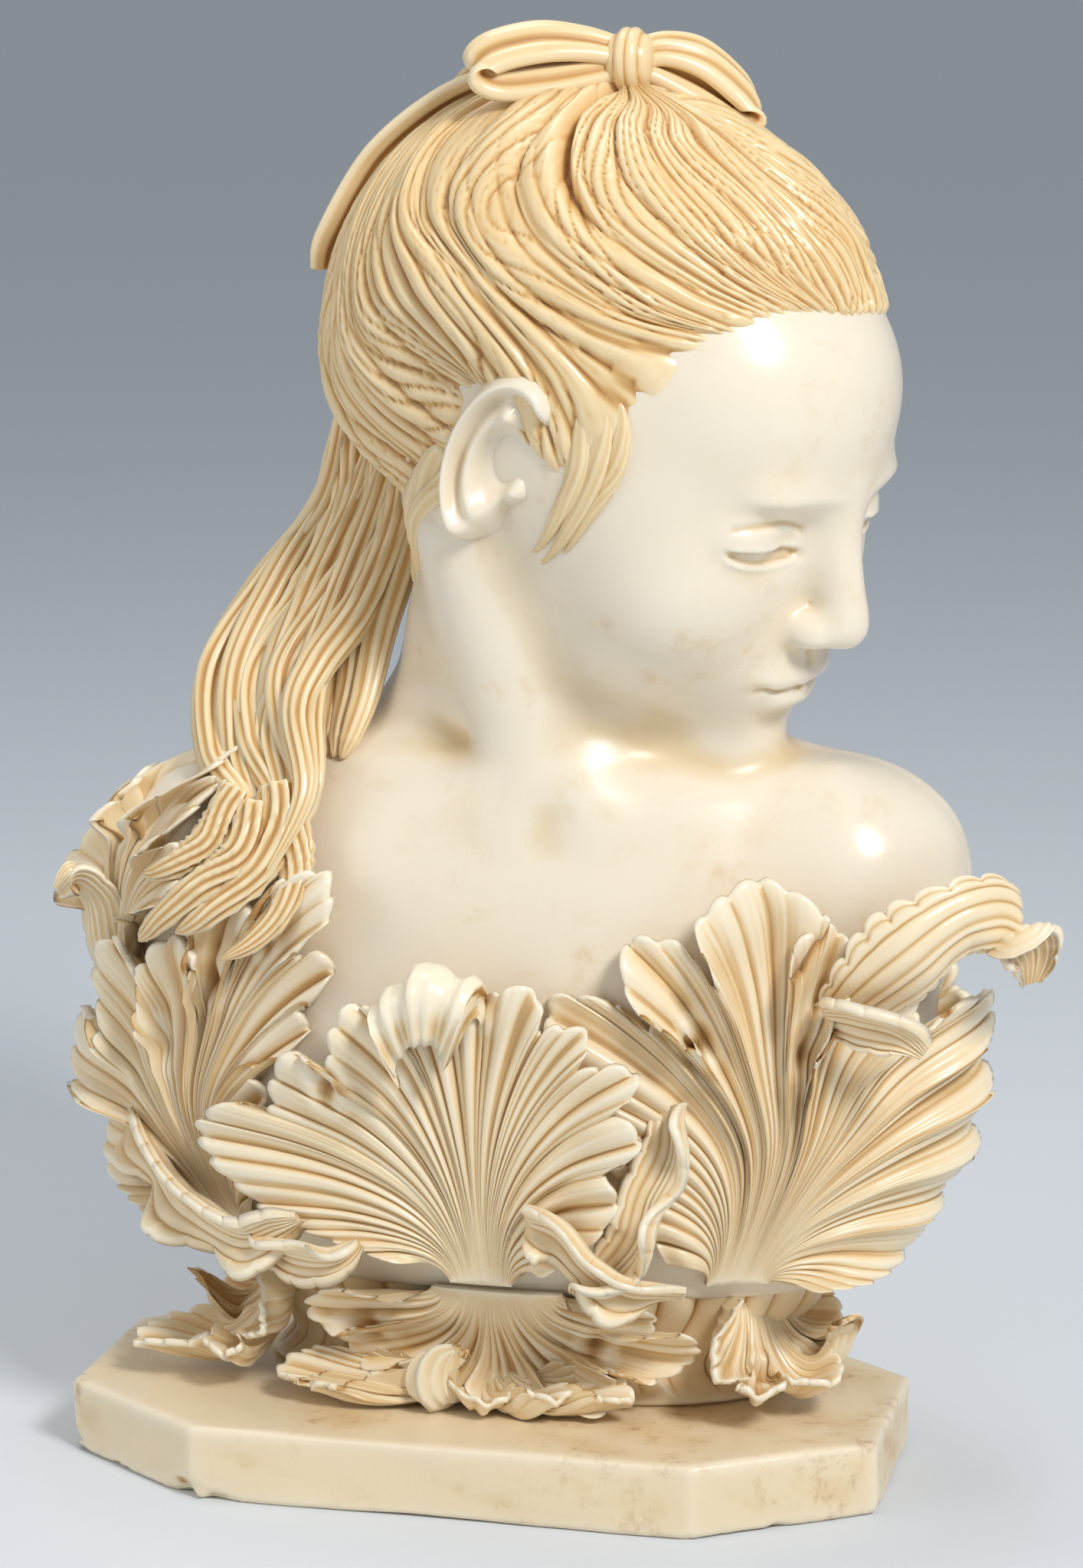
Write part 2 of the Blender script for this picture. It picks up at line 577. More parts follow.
# points across a line: x along one direction and y along the other, for each of its rows
def crossSection(middle, across, through, x, y):
    return middle[:, None] + across[:, None] * x[..., None] + through[:, None] * y[..., None]


def closedSheet(front, back):  # two sheets joined into one closed band
    ring = np.concatenate([front, back[:, ::-1]], 1)
    return ring.reshape(-1, 3), tubeFaces(*ring.shape[:2])


def sweepLock(stations, side, rows=90, sides=22, ridges=5, ridgeDepth=0.16, seed=1):
    t = np.linspace(0, 1, rows)
    line = along(stations, t)
    middle = line[:, :3]
    across, through = frameAlong(line, side)
    angle = np.linspace(0, 2 * pi, sides, endpoint=False)
    phase = 0.9 * waves(t * 4, t * 0, seed)[:, None]
    close = np.sqrt(np.clip((1 - t) / 0.1, 0.02, 1)) * np.sqrt(np.clip(t / 0.03 + 0.1, 0, 1))
    line[:, 3:5] *= close[:, None]
    ripple = 1 - ridgeDepth * np.abs(np.sin((angle[None] + 0.35 * phase) * ridges / 2 + phase)) ** 0.7
    x = np.cos(angle)[None] * line[:, 3:4] * ripple
    y = np.sin(angle)[None] * line[:, 4:5] * ripple
    points = crossSection(middle, across, through, x, y)
    return points.reshape(-1, 3), tubeFaces(rows, sides)


def joinParts(name, parts):
    points, faces, start = [], [], 0
    for p, f in parts:
        points.append(p)
        faces += [tuple(start + k for k in face) for face in f]
        start += len(p)
    return outward(makePiece(name, np.concatenate(points), faces))


fleshTree = BVHTree.FromPolygons([Vector(p) for p in readPoints(flesh)],
                                 [list(p.vertices) for p in flesh.data.polygons])
hair = makeHair(fleshTree)
finishPiece(hair, carvedMarble, ["hair_cap"], gain=0.6)
print("hair", len(hair.data.polygons), "faces")

# the whole tail from the knot to the shoulder: x, y, z, half width and half thickness
tailCourse = [(38, 18, 462, 11, 7), (14, 36, 461, 17, 8), (-11, 58, 447, 21, 9), (-30, 74, 424, 23, 10),
              (-43, 80, 396, 23, 11), (-51, 70, 366, 22, 13), (-54, 54, 340, 22, 14),
              (-56, 36, 316, 24, 14), (-68, 22, 290, 28, 13), (-79, 6, 266, 29, 12),
              (-77, -10, 246, 27, 10), (-67, -26, 226, 22, 8), (-76, -38, 206, 17, 6)]
acrossTail = (0.86, -0.5, 0)
tailBundle = {"locks": 9, "overlap": 2.3, "wave": 3.4}


def makeTail():
    course = np.array(tailCourse, float)
    s = tailBundle
    across, through = frameAlong(course, acrossTail)
    parts = []
    for k in range(s["locks"]):
        place = -1 + 2 * (k + 0.5) / s["locks"]
        sway = s["wave"] * np.sin(np.arange(len(course)) * 1.25 + 2.1 * k)
        lock = course.copy()
        lock[:, :3] += across * (place * course[:, 3] * 0.82 + sway)[:, None]
        sink = (1 - place ** 2) * course[:, 4] * 0.45 + 1.6 * np.sin(k * 2.4 + np.arange(len(course)))
        lock[:, :3] -= through * sink[:, None]
        lock[:, 3] = course[:, 3] / s["locks"] * s["overlap"]
        lock[:, 4] = course[:, 4] * 0.62
        parts.append(sweepLock(lock, acrossTail, rows=150, sides=32, ridges=9, ridgeDepth=0.3,
                               seed=20 + k))
    return parts


# the tail ends in curling tips that lie on the shoulder
tailTips = [
    [(-66, -26, 232, 9, 6), (-64, -34, 218, 10, 6), (-70, -42, 204, 9, 5), (-84, -46, 192, 7, 4),
     (-96, -44, 184, 2, 1.5)],
    [(-72, -28, 226, 9, 6), (-76, -38, 210, 9, 6), (-90, -42, 198, 8, 5), (-104, -40, 186, 5, 3),
     (-112, -34, 178, 1.5, 1)],
    [(-62, -28, 226, 8, 5), (-56, -38, 210, 8, 5), (-58, -46, 196, 7, 4), (-68, -50, 184, 5, 3),
     (-78, -52, 178, 1.5, 1)],
    [(-80, -24, 230, 8, 5), (-88, -32, 214, 8, 5), (-100, -34, 204, 6, 4), (-112, -30, 200, 1.5, 1)]]
parts = makeTail()
for k, tip in enumerate(tailTips):
    parts.append(sweepLock(tip, acrossTail, rows=80, sides=34, ridges=9, ridgeDepth=0.34, seed=40 + k))
tail = joinParts("ponytail", parts)
finishPiece(tail, carvedMarble, ["tail_main"])

innerCourse = [(-34, 44, 344, 10, 7), (-40, 34, 312, 13, 9), (-48, 18, 280, 14, 8),
               (-50, 4, 256, 12, 6), (-52, -8, 238, 7, 4)]
parts = []
for k, place in enumerate((-0.7, 0, 0.7)):
    lock = np.array(innerCourse, float)
    lock[:, :3] += np.outer(place * lock[:, 3] * 0.8, acrossTail)
    lock[:, 3:] *= (0.55, 0.85)
    parts.append(sweepLock(lock, acrossTail, rows=90, sides=26, ridges=8, ridgeDepth=0.3, seed=60 + k))
inner = joinParts("ponytailInner", parts)
finishPiece(inner, carvedMarble, ["tail_inner"])

ribbon = {"knot": (44, 10, 466), "knotRadius": 9, "rise": 6.4, "half": 8.4, "thickness": 2.8}
acrossBow = (-0.3, 0.62, 0.72)


def sweepBand(stations, side, rows=110, columns=22, folds=1.2):
    t = np.linspace(0, 1, rows)
    line = along(stations, t)
    middle = line[:, :3]
    across, through = frameAlong(line, side)
    u = np.linspace(-1, 1, columns)
    bulge = folds * (np.cos(u * pi * 1.5)[None] * 0.5 + 0.25 * np.cos(u * 9)[None]) * np.ones((rows, 1))
    edge = np.sqrt(np.maximum(1 - np.abs(u) ** 6, 0.02))[None]
    wide = u[None] * line[:, 3:4]
    return closedSheet(*(crossSection(middle, across, through, wide, face * line[:, 4:5] * edge + bulge)
                         for face in (1, -1)))


def loopStations(far):
    knot, far = np.array(ribbon["knot"], float), np.array(far, float)
    line = [(0.06, 0.35), (0.3, 0.85), (0.6, 1.1), (0.9, 0.8), (1, 0.1), (0.86, -0.55), (0.55, -0.6),
            (0.25, -0.4), (0.06, -0.2)]
    rows = []
    for run, rise in line:
        p = mix(knot, far, run)
        p[2] = mix(knot[2], far[2], run * run) + rise * ribbon["rise"]
        rows.append((*p, ribbon["half"] * mix(0.62, 1, min(1, run * 1.6)), ribbon["thickness"]))
    return rows


for name, far in (("bow_loop_left", (-2, -6, 463)), ("bow_loop_right", (80, 26, 449))):
    band = joinParts(name.replace("bow_loop_", "ribbonLoop"), [sweepBand(loopStations(far), acrossBow)])
    finishPiece(band, carvedMarble, [name])
tailBand = [(38, 12, 466, 5, 2.2), (22, 14, 466, 6, 2.2), (4, 17, 463, 6, 2.2),
            (-18, 20, 450, 6.5, 2.2), (-40, 24, 430, 7, 2.2), (-58, 27, 406, 7.5, 2.2),
            (-64, 28, 396, 6, 1.6)]
laid = np.array(tailBand, float)
spoke = toHead(laid[:, :3]) - hairMass["centre"]
spoke /= np.linalg.norm(spoke / hairMass["half"], axis=1, keepdims=True)
onHair = fromHead(hairMass["centre"] + spoke * 1.045)
laid[2:, :3] = onHair[2:]
band = joinParts("ribbonTail", [sweepBand(laid, (-0.35, -0.75, 0.55))])
finishPiece(band, carvedMarble, ["bow_tail"])

bpy.ops.object.select_all(action="DESELECT")
bpy.ops.mesh.primitive_uv_sphere_add(segments=64, ring_count=40, radius=1, location=(0, 0, 0))
knot = bpy.context.object
knot.name = "ribbonKnot"
knob = np.array([v.co for v in knot.data.vertices])
wrap = 1 + 0.07 * np.abs(np.sin(3 * knob[:, 0] * 2.2)) ** 0.8 - 0.05 * np.abs(knob[:, 0])
size = np.array([0.95, 1.1, 1.15]) * ribbon["knotRadius"]
writePoints(knot, knob * size * wrap[:, None] + np.array(ribbon["knot"]))
finishPiece(knot, carvedMarble, ["bow_knot"])
print("tail and ribbon")

# short locks before the ears and fine hair on the nape, in the frame of the head, laid on the skin
sideLocks = {"lift": 0.3, "courses": [
    [(-62, -27, 42, 2, 0.7), (-64, -32, 27, 4.6, 2.4), (-65, -34, 12, 4.2, 2.3),
     (-64, -31, -3, 3.2, 1.8), (-63, -27, -15, 1.8, 1.1), (-62, -22, -24, 0.7, 0.5)],
    [(-63, -21, 38, 2, 0.7), (-65, -26, 24, 4.4, 2.4), (-66, -28, 9, 4, 2.2), (-65, -25, -5, 3, 1.7),
     (-64, -22, -15, 1.7, 1.1), (-63, -18, -22, 0.7, 0.5)],
    [(-62, -33, 40, 2, 0.7), (-63, -38, 28, 4.2, 2.2), (-64, -39, 15, 3.6, 1.9),
     (-64, -36, 3, 2.5, 1.4), (-63, -33, -8, 1.3, 0.9), (-62, -30, -15, 0.6, 0.4)],
    [(-66, 14, 0, 5, 2.6), (-62, 19, -16, 5.4, 2.6), (-58, 23, -30, 4.4, 2), (-56, 22, -40, 2.6, 1.3),
     (-54, 20, -48, 1, 0.7)],
    [(-64, 24, -4, 6, 2.8), (-60, 31, -22, 6, 2.6), (-54, 34, -36, 4.6, 2), (-50, 33, -47, 2.8, 1.3),
     (-50, 30, -55, 1, 0.7)],
    [(-56, 38, -12, 6.5, 3), (-50, 44, -30, 6, 2.6), (-44, 44, -44, 4.4, 2), (-42, 39, -54, 2.6, 1.3),
     (-42, 34, -62, 1, 0.7)],
    [(-40, 52, -16, 7, 3), (-34, 54, -34, 6.4, 2.6), (-28, 52, -48, 4.6, 2), (-26, 46, -60, 2.6, 1.3),
     (-27, 42, -68, 1, 0.7)],
    [(-20, 58, -18, 7, 3), (-16, 60, -38, 6.4, 2.6), (-10, 56, -52, 4.6, 2), (-10, 50, -62, 2.6, 1.3),
     (-12, 46, -70, 1, 0.7)]]}
parts = []
for side in (1, -1):
    for k, course in enumerate(sideLocks["courses"]):
        laid = along(np.array(course, float), np.linspace(0, 1, 9)) * (side, 1, 1, 1, 1)
        world = fromHead(laid[:, :3])
        for n, spot in enumerate(world):
            near, face = fleshTree.find_nearest(Vector(spot))[:2]
            world[n] = np.array(near) + np.array(face) * sideLocks["lift"]
        laid[:, :3] = world
        laid[0, 3:] *= 0.6
        parts.append(sweepLock(laid, turn @ (0, -1, 0), rows=46, sides=24, ridges=7, ridgeDepth=0.22,
                               seed=70 + k))
curls = joinParts("sideLocks", parts)
finishPiece(curls, carvedMarble, [])


# an ear: a shell in its own plane, x forwards, y up, z away from the head, in millimetres
ear = {"halfWidth": 17, "halfHeight": 30, "rise": 11, "lean": 6, "flare": 12}


def earRelief(x, y):
    wide, tall = ear["halfWidth"], ear["halfHeight"]
    r = np.hypot(x / wide, y / tall)
    angle = np.arctan2(y / tall, x / wide)
    back = smooth(-np.cos(angle) + 0.55 * np.sin(angle), -0.75, -0.2)
    helix = 6.4 * bump(r, 0.86, 0.12) * back
    anti = 4.2 * bump(np.hypot((x - 1) / wide, (y + 1) / tall), 0.55, 0.12)
    anti *= smooth(-np.cos(angle), -0.35, 0.2)
    fork = 2.2 * bump(x * 0.8 + 0.45 * (y - 13), 0, 3) * smooth(y, 6, 14) * (1 - smooth(r, 0.6, 0.8))
    bowl = -7.5 * bump(np.hypot((x - 3.5) / 8, (y + 1) / 10), 0, 0.9)
    tragus = 9 * bump(np.hypot((x - 9.5) / 5, (y + 6) / 8), 0, 0.9)
    lobeRise = 3.6 * bump(np.hypot((x - 3) / 10, (y + 23) / 8), 0, 1)
    joined = -11 * smooth(x + 0.4 * np.maximum(-y - 8, 0), 5, 13) * (1 - smooth(y, 14, 27))
    crus = 2.4 * bump(y - 4 + 0.2 * (x - 8), 0, 2.2) * smooth(x, 2, 9)
    return joined + helix + anti + fork + bowl + tragus + lobeRise + crus - 2.5 * smooth(r, 0.9, 1.05)


def makeEar(side):
    rings, spokes = 64, 128
    r = np.concatenate([np.linspace(0.02, 1, rings), np.linspace(1.03, 1.0, 3),
                        np.linspace(0.94, 0.4, 8)])
    a = np.linspace(0, 2 * pi, spokes, endpoint=False)
    rr, aa = np.meshgrid(r, a, indexing="ij")
    lobeWaist = 0.3 + 0.16 * (np.cos(aa) > 0) * np.cos(aa)
    taper = 1 - lobeWaist * smooth(-np.sin(aa), 0.1, 1) + 0.06 * np.sin(aa)
    x, y = rr * ear["halfWidth"] * np.cos(aa) * taper, rr * ear["halfHeight"] * np.sin(aa)
    z = ear["rise"] + earRelief(x, y)
    layer = np.arange(len(r))[:, None]
    z = np.where(layer >= rings, z[rings - 1] - 1.6 * (layer - rings + 1), z)
    flare = radians(ear["flare"])
    forward = x * cos(flare) + (z - ear["rise"]) * sin(flare) * 0.6
    outwards = z + (ear["halfWidth"] - x) * sin(flare) * 0.62 - 6
    lean = radians(ear["lean"])
    alongFace, upFace = forward * cos(lean) + y * sin(lean), y * cos(lean) - forward * sin(lean)
    shell = np.stack([side * (62 + outwards), -2 - alongFace * 1.1, 6 + upFace * 1.06], -1)
    name = "earRight" if side < 0 else "earLeft"
    return outward(makePiece(name, fromHead(shell.reshape(-1, 3)), tubeFaces(len(r), spokes)))


for side, node in ((-1, "ear_right"), (1, "ear_left")):
    finishPiece(makeEar(side), skinMarble, [node], gain=0.5)
print("ears")

# a place on the bust is a distance round its girth (0 in front, right positive) and a height
girthSteps = np.linspace(0, pi, 181)
girthMid = (girthSteps[1:] + girthSteps[:-1]) / 2
girthRun = np.hypot(134 * np.cos(girthMid), 60 * np.sin(girthMid)) * pi / 180
girthTable = np.concatenate([[0], np.cumsum(girthRun)])
halfGirth = girthTable[-1]


def onTorso(x, y, out):
    x, y, out = np.broadcast_arrays(x, y, out)
    runs = np.concatenate([girthTable, 2 * halfGirth - girthTable[-2::-1]])
    bearings = np.concatenate([girthSteps, 2 * pi - girthSteps[-2::-1]])
    angle = np.sign(x) * np.interp(np.abs(x), runs, bearings)
    size = torsoAt(y)
    b = size[..., 3] * np.where(np.cos(angle) < 0, backFlatness, 1.0)
    nx, ny = np.sin(angle) / size[..., 2], -np.cos(angle) / b
    length = np.hypot(nx, ny)
    return np.stack([size[..., 0] + size[..., 2] * np.sin(angle) + nx / length * out,
                     size[..., 1] - b * np.cos(angle) + ny / length * out, y], -1)


# the outline is a row of lobes; each runs from its left notch, round its tip, to its right notch
def leafOutline(s, spacing):
    notches = [s["start"]] + [part["notch"] for part in s["lobes"]]
    line, lobeOf, place = [], [], []
    for k, part in enumerate(s["lobes"]):
        left, right, tip = np.array([notches[k], notches[k + 1], part["tip"]], float)
        root = (left + right) / 2
        axis = unit(tip - root)
        side = np.array([axis[1], -axis[0]])
        wide = part.get("wide", 0.14) * np.linalg.norm(tip - root) + 1
        rise = [mix(left, tip, 0.3) - side * wide * 0.5, mix(left, tip, 0.66) - side * wide]
        fall = [mix(right, tip, 0.66) + side * wide, mix(right, tip, 0.3) + side * wide * 0.5]
        stations = [left, *rise, tip, *fall, right]
        run = sum(np.linalg.norm(b - a) for a, b in zip(stations, stations[1:]))
        count = max(10, int(run / spacing))
        t = np.linspace(0, 1, count, endpoint=k == len(s["lobes"]) - 1)
        line.append(along(stations, t))
        lobeOf.append(np.full(len(t), k))
        place.append(2 * t - 1)
    return np.concatenate(line), np.concatenate(lobeOf), np.concatenate(place)


leafStyle = {"spacing": 0.95, "rows": 60, "thickness": 5, "fluteWidth": 10, "fluteDepth": 3,
             "threadWidth": 3.3, "threadDepth": 0.45, "serration": 4, "dish": 2.6, "lean": 6,
             "curl": 7, "rollSoft": 0.35}


def leafPiece(name, leaf, place):
    s = {**leafStyle, **leaf}
    outline, lobeOf, across = leafOutline(s, s["spacing"])
    step = np.linalg.norm(np.diff(outline, axis=0, append=outline[-1:]), axis=1)
    run = np.concatenate([[0], np.cumsum(step)[:-1]])
    total = run[-1] + 1e-6
    u = run / total
    seed = s["seed"]
    flute, within = lockPlaces(np.minimum(run, total - 1e-3), total, s["fluteWidth"], seed)
    _, thread = lockPlaces(np.minimum(run, total - 1e-3), total, s["threadWidth"], seed + 1)
    (x0, y0), (x1, y1) = s["stem"]
    foot = np.stack([mix(x0, x1, u), mix(y0, y1, u)], 1)
    reach = outline - foot
    length = np.linalg.norm(reach, axis=1)
    whole = np.array([0.25 if "roll" in part else 1.0 for part in s["lobes"]])[lobeOf]
    nick = s["serration"] * whole * (1 - rounded(within)) * np.clip(length / 60, 0.3, 1)
    outline = outline - unit(reach) * nick[:, None]
    reach = outline - foot
    length = np.linalg.norm(reach, axis=1)
    bend = foot + np.outer(0.3 * length + 0.32 * np.maximum(reach[:, 1], 0), (0, 1))
    front = np.linspace(0, 1, s["rows"])
    back = np.concatenate([np.linspace(1, 0.7, s["rows"] // 3), np.linspace(0.66, 0, 8)])
    t = np.concatenate([front, back])[None, :, None]
    isBack = np.concatenate([np.zeros(len(front)), np.ones(len(back))])[None]
    p = (1 - t) ** 2 * foot[:, None] + 2 * t * (1 - t) * bend[:, None] + t * t * outline[:, None]
    ray = unit(2 * (1 - t) * (bend - foot)[:, None] + 2 * t * (outline - bend)[:, None])
    t = t[..., 0]
    gap = np.linalg.norm(np.gradient(p[:, :len(front)], axis=0), axis=-1)
    gap = np.concatenate([gap, np.repeat(gap[:, -1:], len(back), 1)], 1) / np.maximum(step.mean(), 0.1)
    wide = np.clip(gap, 0.05, 1)
    deep = np.minimum(s["fluteDepth"], 0.34 * s["fluteWidth"] * wide)
    fine = np.minimum(s["threadDepth"], 0.3 * s["threadWidth"] * wide)
    relief = deep * (rounded(within)[:, None] - 0.5) * smooth(t, 0.02, 0.3)
    relief = relief + fine * rounded(thread)[:, None]
    relief *= (0.75 + 0.5 * np.sin(flute * 1.9) ** 2)[:, None]
    relief += s["dish"] * (np.abs(across[:, None]) ** 1.6 - 0.4) * smooth(t, 0.2, 0.7)
    relief -= 2 * bump(across, 0, 0.09)[:, None] * smooth(t, 0.15, 0.5)
    lobes = s["lobes"]
    lift, tilt = (np.array([part.get(key, 0) for part in lobes])[lobeOf] for key in ("lift", "tilt"))
    out = s["out"] + s["lean"] * t ** 1.4 + (s["curl"] + lift)[:, None] * smooth(t, 0.6, 1) ** 2
    out = out + (tilt * across)[:, None] * smooth(t, 0.5, 1)
    out = out + 1.1 * waves(run[:, None] * 0.09, t * 3, seed + 5) * t ** 2
    for eyeX, eyeY, size in s["eyes"]:
        near = np.hypot(p[..., 0] - eyeX, (p[..., 1] - eyeY) * 0.62)
        out = out - 3.6 * np.exp(-(near / size) ** 2) * (1 - isBack)
        relief = relief + 0.9 * bump(near, size * 2, size * 0.8)
    turnBy = np.zeros_like(out)
    for k, part in enumerate(lobes):
        if "roll" in part:  # the tip rolls over forwards
            r = part["roll"]
            weight = np.where(lobeOf == k, smooth(1 - np.abs(across), 0, s["rollSoft"]), 0)[:, None]
            share = np.clip((t - r["from"]) / (1 - r["from"]), 0, 1) * r["length"]
            most = radians(r["degrees"])
            a = np.clip(share / r["radius"], 0, most)
            straight = np.maximum(share - r["radius"] * most, 0)
            forward = r["radius"] * np.sin(a) + straight * cos(most)
            outwards = r["radius"] * (1 - np.cos(a)) + straight * sin(most)
            q = r["from"]
            root = (1 - q) ** 2 * foot + 2 * q * (1 - q) * bend + q * q * outline
            drift = np.array(r.get("drift", (0, 0))) * (share / r["length"])[..., None]
            rolled = root[:, None] + ray * forward[..., None] + drift
            past = (weight * (t > q))[..., None]
            p = mix(p, rolled, past)
            out = out + outwards * weight
            turnBy = turnBy + a * weight
    thick = s["thickness"] * (1 - 0.4 * smooth(t, 0.85, 1))
    shift = relief - thick * isBack
    x = p[..., 0] - np.sin(turnBy) * ray[..., 0] * shift
    y = p[..., 1] - np.sin(turnBy) * ray[..., 1] * shift
    points = place(x, y, out + np.cos(turnBy) * shift)
    return outward(makePiece(name, points.reshape(-1, 3), tubeFaces(*points.shape[:2])))


def lobe(tip, notch, **more):
    return {"tip": tip, "notch": notch, **more}


leaves = {
    "leaf_centre": {"stem": ((-14, 70), (10, 70)), "start": (-30, 78), "out": 9, "curl": 4, "lean": 4,
                    "dish": -3, "seed": 5, "eyes": [(-45, 139, 3), (3, 172, 3)], "lobes": [
        lobe((-91, 116), (-66, 124), wide=0.22, tilt=-2), lobe((-57, 150), (-45, 141), tilt=2),
        lobe((-37, 168), (-24, 160)),
        lobe((-14, 188), (3, 172), wide=0.5, roll={"from": 0.84, "radius": 5.8, "degrees": 195,
                                                   "length": 34, "drift": (-8, 0)}),
        lobe((18, 176), (20, 163), wide=0.2, tilt=2), lobe((34, 163), (32, 150)),
        lobe((50, 150), (43, 137), lift=2), lobe((52, 128), (42, 117), lift=2),
        lobe((47, 106), (24, 77), wide=0.2, lift=3)]},
    "leaf_right": {"stem": ((84, 70), (108, 70)), "start": (66, 80), "out": 4, "dish": 4, "seed": 15,
                   "eyes": [(67, 155, 3.2), (99.5, 151, 3.4), (127, 156, 2.6)], "lobes": [
        lobe((20, 168), (52, 160), wide=0.12, lift=-10), lobe((56, 166), (66, 157), wide=0.1, lift=-9),
        lobe((43, 190), (72, 174), wide=0.2, lift=-4, tilt=-2),
        lobe((83, 211), (91, 180), wide=0.42, lift=2), lobe((105, 195), (100, 152), wide=0.2, tilt=2),
        lobe((119, 179), (128, 158), wide=0.2), lobe((156, 165), (152, 149), wide=0.2, lift=2),
        lobe((166, 143), (157, 131), wide=0.12), lobe((170, 121), (159, 110), wide=0.12),
        lobe((169, 98), (156, 88), wide=0.12), lobe((158, 74), (120, 71), wide=0.12)]},
    "leaf_left": {"stem": ((-114, 78), (-96, 76)), "start": (-122, 82), "out": 4, "dish": 4, "seed": 25,
                  "eyes": [(-112, 140, 3), (-91, 166, 2.6), (-72, 184, 2.6)], "lobes": [
        lobe((-162, 104), (-138, 116), wide=0.24, lift=4),
        lobe((-152, 143), (-130, 138), wide=0.24, lift=3), lobe((-128, 176), (-112, 144), wide=0.2),
        lobe((-101, 182), (-92, 168), wide=0.26), lobe((-82, 196), (-72, 186), wide=0.26),
        lobe((-52, 208), (-58, 180), wide=0.26, lift=1),
        lobe((-48, 176), (-64, 160), wide=0.2, lift=-8),
        lobe((-57, 154), (-78, 140), wide=0.2, lift=-10),
        lobe((-72, 130), (-90, 86), wide=0.16, lift=-10)]},
    "leaf_shoulder": {"stem": ((-144, 168), (-128, 166)), "start": (-146, 182), "out": 9, "dish": 3,
                      "seed": 35, "eyes": [(-136, 208, 2.6)], "lobes": [
        lobe((-158, 226), (-140, 212), wide=0.24, lift=4),
        lobe((-136, 244), (-126, 218), wide=0.3, lift=5, tilt=3),
        lobe((-116, 232), (-116, 206), wide=0.3, lift=2), lobe((-98, 206), (-120, 184), wide=0.24)]}}
backLobes = [lobe((-72, 66), (-52, 68), wide=0.24), lobe((-52, 92), (-30, 82), wide=0.24),
             lobe((-28, 106), (-8, 92), wide=0.26), lobe((6, 112), (18, 92), wide=0.28, lift=2),
             lobe((32, 104), (38, 78), wide=0.26), lobe((50, 88), (46, 60), wide=0.24),
             lobe((60, 52), (20, 10), wide=0.2)]
backLeaves = {"leaf_back_left": (-222, 2, 1), "leaf_back_right": (222, 2, -1),
              "leaf_back_centre": (294, 10, -1)}
for k, (name, (middle, out, mirrored)) in enumerate(backLeaves.items()):
    leaves[name] = {"stem": ((-13, 0), (13, 0)), "start": (-20, 8), "out": out, "seed": 45 + k,
                    "spacing": 1.3, "rows": 46,
                    "eyes": [(-30, 80, 3), (18, 90, 3)], "lobes": backLobes, "middle": middle,
                    "mirrored": mirrored}

for name, leaf in leaves.items():
    place = onTorso
    if "middle" in leaf:
        place = lambda x, y, out: onTorso(leaf["middle"] + leaf["mirrored"] * x, 71 + y, out)
    piece = leafPiece(name.replace("leaf_", "acanthus_"), leaf, place)
    finishPiece(piece, leafMarble, [name], gain=0.5)
    print(name, len(piece.data.polygons), "faces")


# curled and ruffled leaf edges: x, y, z, half width, and how far the section curls in degrees
edgeStyle = {"rows": 150, "columns": 46, "ruffleEvery": 8, "free": 1, "flute": 1.4, "thickness": 3.6,
             "scallop": 0.12, "scallopEvery": 9}


def leafBand(band):
    s = {**edgeStyle, **band}
    rows = s["rows"]
    t = np.linspace(0, 1, rows)
    line = along(s["course"], t)
    middle = line[:, :3]
    across, through = frameAlong(line, s["side"])
    u = np.linspace(-1, 1, s["columns"])
    run = np.concatenate([[0], np.cumsum(np.linalg.norm(np.diff(middle, axis=0), axis=1))])
    scallop = 1 - s["scallop"] * (1 - rounded(np.mod(run / s["scallopEvery"], 1)))
    curl = np.radians(line[:, 4:5]) + 1e-3
    half = line[:, 3:4] * mix(1, scallop[:, None], smooth(np.abs(u), 0.5, 1)[None])
    x = half * np.sin(curl * u) / curl
    z = half * (1 - np.cos(curl * u)) / curl
    wave = s["ruffle"] * np.sin(run / s["ruffleEvery"])[:, None] * (u[None] * s["free"] > 0)
    wave = wave * u[None] ** 2
    _, place = lockPlaces((u + 1) * 20, 40, s["fluteShare"], s["seed"])
    relief = s["flute"] * rounded(place)[None] * smooth(t, 0, 0.12)[:, None]
    relief = relief + 0.5 * waves(u[None] * 2, run[:, None] * 0.1, 9)
    thick = s["thickness"] * (1 - 0.3 * np.abs(u) ** 4)[None] * (1 - 0.6 * smooth(t, 0.8, 1))[:, None]
    slopeX = np.cos(curl * u)
    slopeZ = np.sin(curl * u)
    return closedSheet(*(crossSection(middle, across, through, x - slopeZ * off, z + wave + slopeX * off)
                         for off in (relief, relief - thick)))


